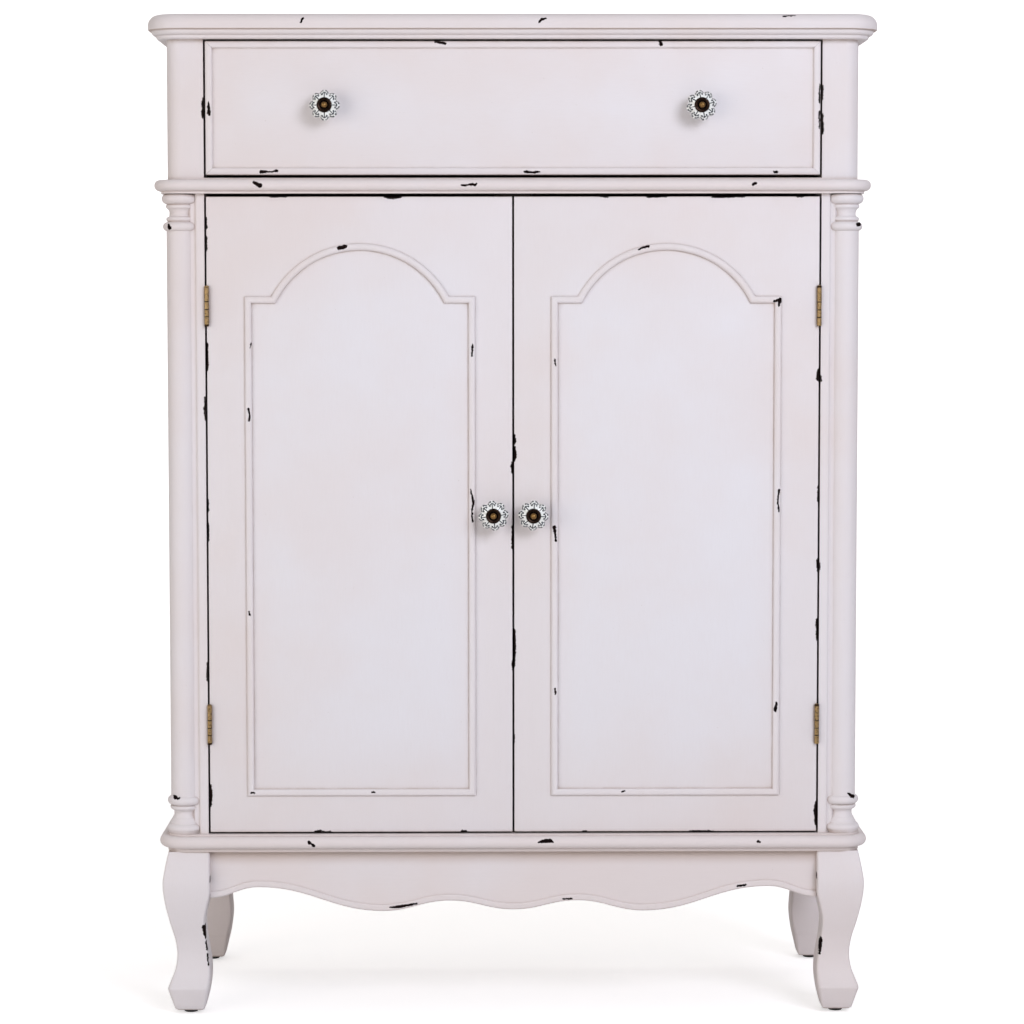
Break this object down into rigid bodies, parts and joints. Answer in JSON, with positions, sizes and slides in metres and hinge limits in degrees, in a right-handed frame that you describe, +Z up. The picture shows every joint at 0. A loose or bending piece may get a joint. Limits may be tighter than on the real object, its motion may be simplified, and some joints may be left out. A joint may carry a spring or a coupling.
{
  "type": "armoire",
  "caption": "Off-white painted armoire with a drawer over arched-moulding doors, turned corner columns, wavy apron and cabriole legs",
  "frame": {"origin": "on the floor plane under the middle of the bounding box", "axes": "+Z up, the front with the doors and drawer faces -Y, +X to the viewer's right"},
  "size_m": [0.868, 0.394, 1.2],
  "materials": {
    "painted_wood": "antique off-white satin paint, rubbed through to dark wood along the edges",
    "drawer_wood": "clear-lacquered light hardwood",
    "shelf_wood": "off-white painted board",
    "back_board": "thin hardboard, pale painted",
    "hinge_brass": "aged brass plate",
    "knob_brass": "aged brass",
    "knob_bronze": "oil-rubbed bronze",
    "knob_ceramic": "white glaze with blue-black brushed leaves",
    "steel": "zinc-plated steel",
    "glide_plastic": "dark nylon",
    "catch_plastic": "off-white moulded plastic"
  },
  "bodies": {
    "root": {"top_panel": "painted_wood", "cornice_board": "painted_wood", "waist_board": "painted_wood", "base_board": "painted_wood", "upper_post_right": "painted_wood", "upper_post_left": "painted_wood", "stile_right": "painted_wood", "stile_left": "painted_wood", "column_right": "painted_wood", "column_left": "painted_wood", "side_panel_right": "painted_wood", "side_panel_left": "painted_wood", "upper_side_panels": "painted_wood", "back_panel": "back_board", "shelf_lower": "shelf_wood", "shelf_upper": "shelf_wood", "shelf_pins": "steel", "leg_rear_right": "painted_wood", "leg_rear_left": "painted_wood", "leg_front_right": "painted_wood", "leg_front_left": "painted_wood", "foot_glides": "glide_plastic", "apron_front": "painted_wood", "side_aprons": "painted_wood", "apron_back": "painted_wood", "hinge_frame_leaves": "hinge_brass", "hinge_pins": "hinge_brass", "hinge_frame_screws": "hinge_brass", "magnetic_catch": "catch_plastic", "slide_outer_members": "steel", "slide_cleats": "drawer_wood"},
    "left_door": {"left_door_panel": "painted_wood", "left_door_moulding": "painted_wood", "left_door_hinge_leaves": "hinge_brass", "left_door_hinge_screws": "hinge_brass", "left_door_strike": "steel", "left_door_knob": "knob_ceramic", "left_door_knob_rosette": "knob_bronze", "left_door_knob_collar": "knob_bronze", "left_door_knob_bolt": "knob_brass"},
    "right_door": {"right_door_panel": "painted_wood", "right_door_moulding": "painted_wood", "right_door_hinge_leaves": "hinge_brass", "right_door_hinge_screws": "hinge_brass", "right_door_strike": "steel", "right_door_knob": "knob_ceramic", "right_door_knob_rosette": "knob_bronze", "right_door_knob_collar": "knob_bronze", "right_door_knob_bolt": "knob_brass"},
    "drawer": {"drawer_knobs": "knob_ceramic", "drawer_knob_rosettes": "knob_bronze", "drawer_knob_collars": "knob_bronze", "drawer_knob_bolts": "knob_brass", "drawer_front": "painted_wood", "drawer_front_moulding": "painted_wood", "drawer_bottom": "back_board", "drawer_sides": "drawer_wood", "drawer_back": "drawer_wood", "slide_inner_members": "steel"},
    "ball_cages": {"slide_ball_cages": "steel"}
  },
  "joints": [
    {"name": "left_door_hinge", "type": "hinge", "parent": "root", "child": "left_door", "pos_m": [-0.365, -0.1619, 0.6], "axis": [0, 0, -1], "range_deg": [0, 110]},
    {"name": "right_door_hinge", "type": "hinge", "parent": "root", "child": "right_door", "pos_m": [0.365, -0.1619, 0.6], "axis": [0, 0, 1], "range_deg": [0, 110]},
    {"name": "drawer_slide", "type": "slide", "parent": "root", "child": "drawer", "axis": [0, -1, 0], "range_m": [0, 0.21]},
    {"name": "cage_slide", "type": "slide", "parent": "root", "child": "ball_cages", "axis": [0, -1, 0], "range_m": [0, 0.105]}
  ],
  "couplings": [
    {"joint": "cage_slide", "follows": "drawer_slide", "ratio": 0.5}
  ]
}
